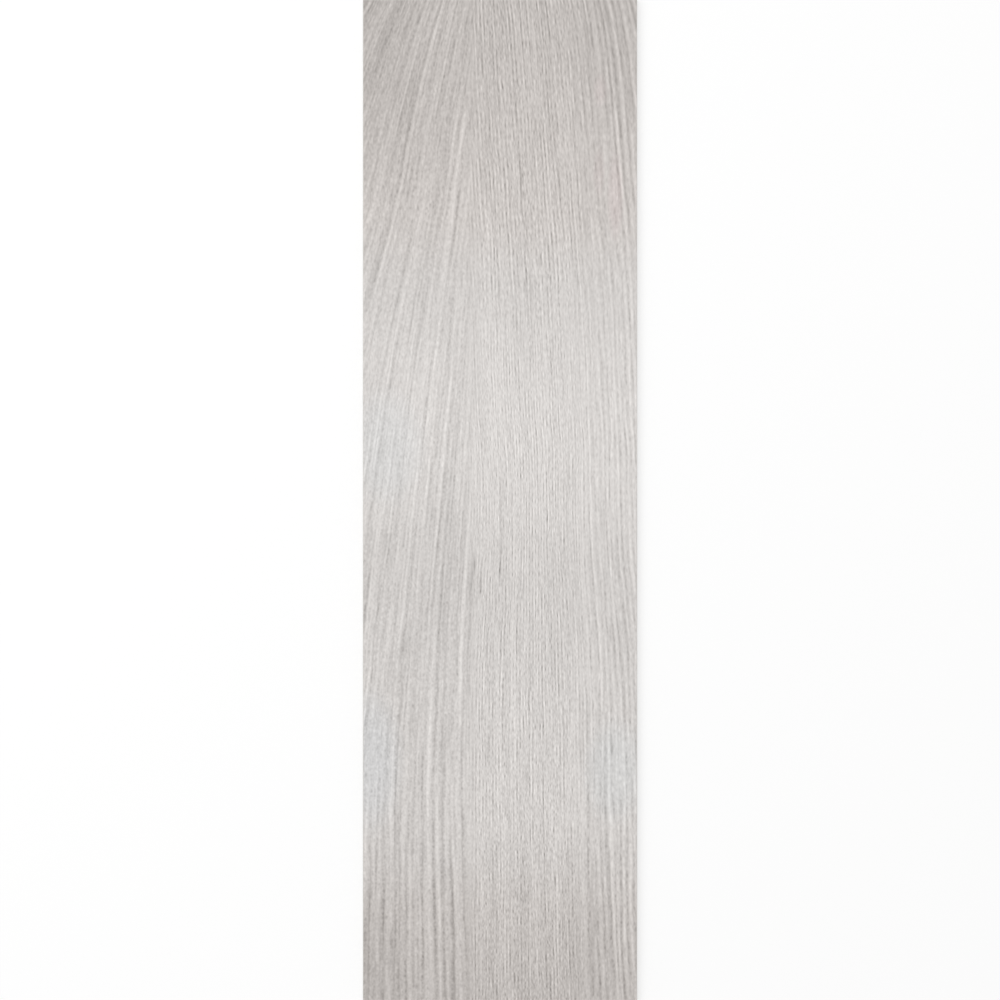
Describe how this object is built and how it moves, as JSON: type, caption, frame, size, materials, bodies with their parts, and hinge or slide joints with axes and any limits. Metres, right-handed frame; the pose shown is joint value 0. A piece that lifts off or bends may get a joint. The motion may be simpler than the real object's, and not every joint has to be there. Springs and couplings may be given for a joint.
{
  "type": "wood look porcelain plank tile",
  "caption": "Long rectified porcelain floor or wall tile, printed and textured as pale bleached oak, with fine bevelled edges and a keyed back.",
  "frame": {"origin": "middle of the back, on the plane that the tile rests on", "axes": "+X across the width, +Y along the length and the grain, +Z out of the printed face"},
  "size_m": [0.233, 0.85, 0.0095],
  "materials": {
    "porcelain": "matte"
  },
  "bodies": {
    "root": {"plank_tile": "porcelain"}
  },
  "joints": []
}
